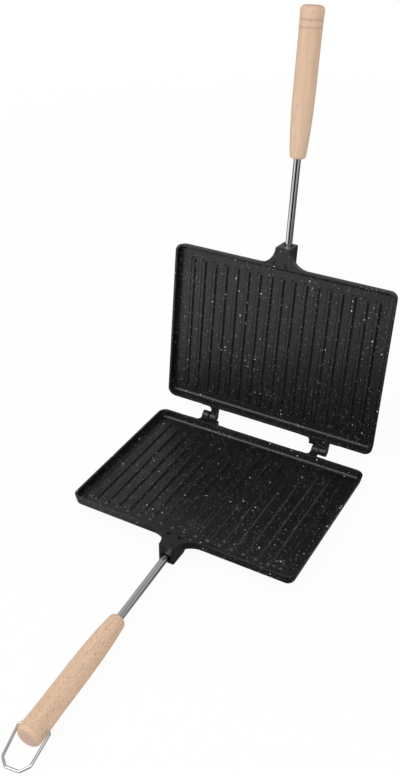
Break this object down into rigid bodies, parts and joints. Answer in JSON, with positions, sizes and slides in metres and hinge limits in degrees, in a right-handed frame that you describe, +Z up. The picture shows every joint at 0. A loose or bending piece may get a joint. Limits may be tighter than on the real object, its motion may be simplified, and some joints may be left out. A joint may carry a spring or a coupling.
{
  "type": "pie iron",
  "caption": "Hinged double-sided grill pan for toasted sandwiches, with ribbed pans, steel rods, turned wooden handles and a wire bail that latches them.",
  "frame": {"origin": "centre of the lower pan's flat underside", "axes": "+Z up with the lower pan level, +X along the hinge, +Y towards the hinge and -Y towards the handles; the upper pan stands open on its stop"},
  "size_m": [0.2398, 0.5327, 0.459],
  "materials": {
    "coated_casting": "satin black non-stick coating with fine pale speckles on cast aluminium",
    "dark_pin": "blackened steel",
    "rod_steel": "polished",
    "rod_pin_steel": "plain",
    "insert_brass": "plain",
    "beech": "sanded and lightly oiled beech",
    "bail_wire": "bright drawn wire"
  },
  "bodies": {
    "lower": {"lower_pan": "coated_casting", "hinge_pin_left": "dark_pin", "lower_rod": "rod_steel", "lower_rod_pin": "rod_pin_steel", "lower_insert": "insert_brass", "lower_handle": "beech"},
    "upper": {"upper_pan": "coated_casting", "hinge_pin_right": "dark_pin", "upper_rod": "rod_steel", "upper_rod_pin": "rod_pin_steel", "upper_insert": "insert_brass", "upper_handle": "beech"},
    "bail": {"bail": "bail_wire"}
  },
  "joints": [
    {"name": "pan_hinge", "type": "hinge", "parent": "lower", "child": "upper", "pos_m": [0, 0.1002, 0.01215], "axis": [1, 0, 0], "range_deg": [0, 96.5]},
    {"name": "bail_swing", "type": "hinge", "parent": "lower", "child": "bail", "pos_m": [0.00437, -0.31669, -0.00895], "axis": [0.9791, 0.0139, 0.2027], "range_deg": [-172, 143]}
  ]
}
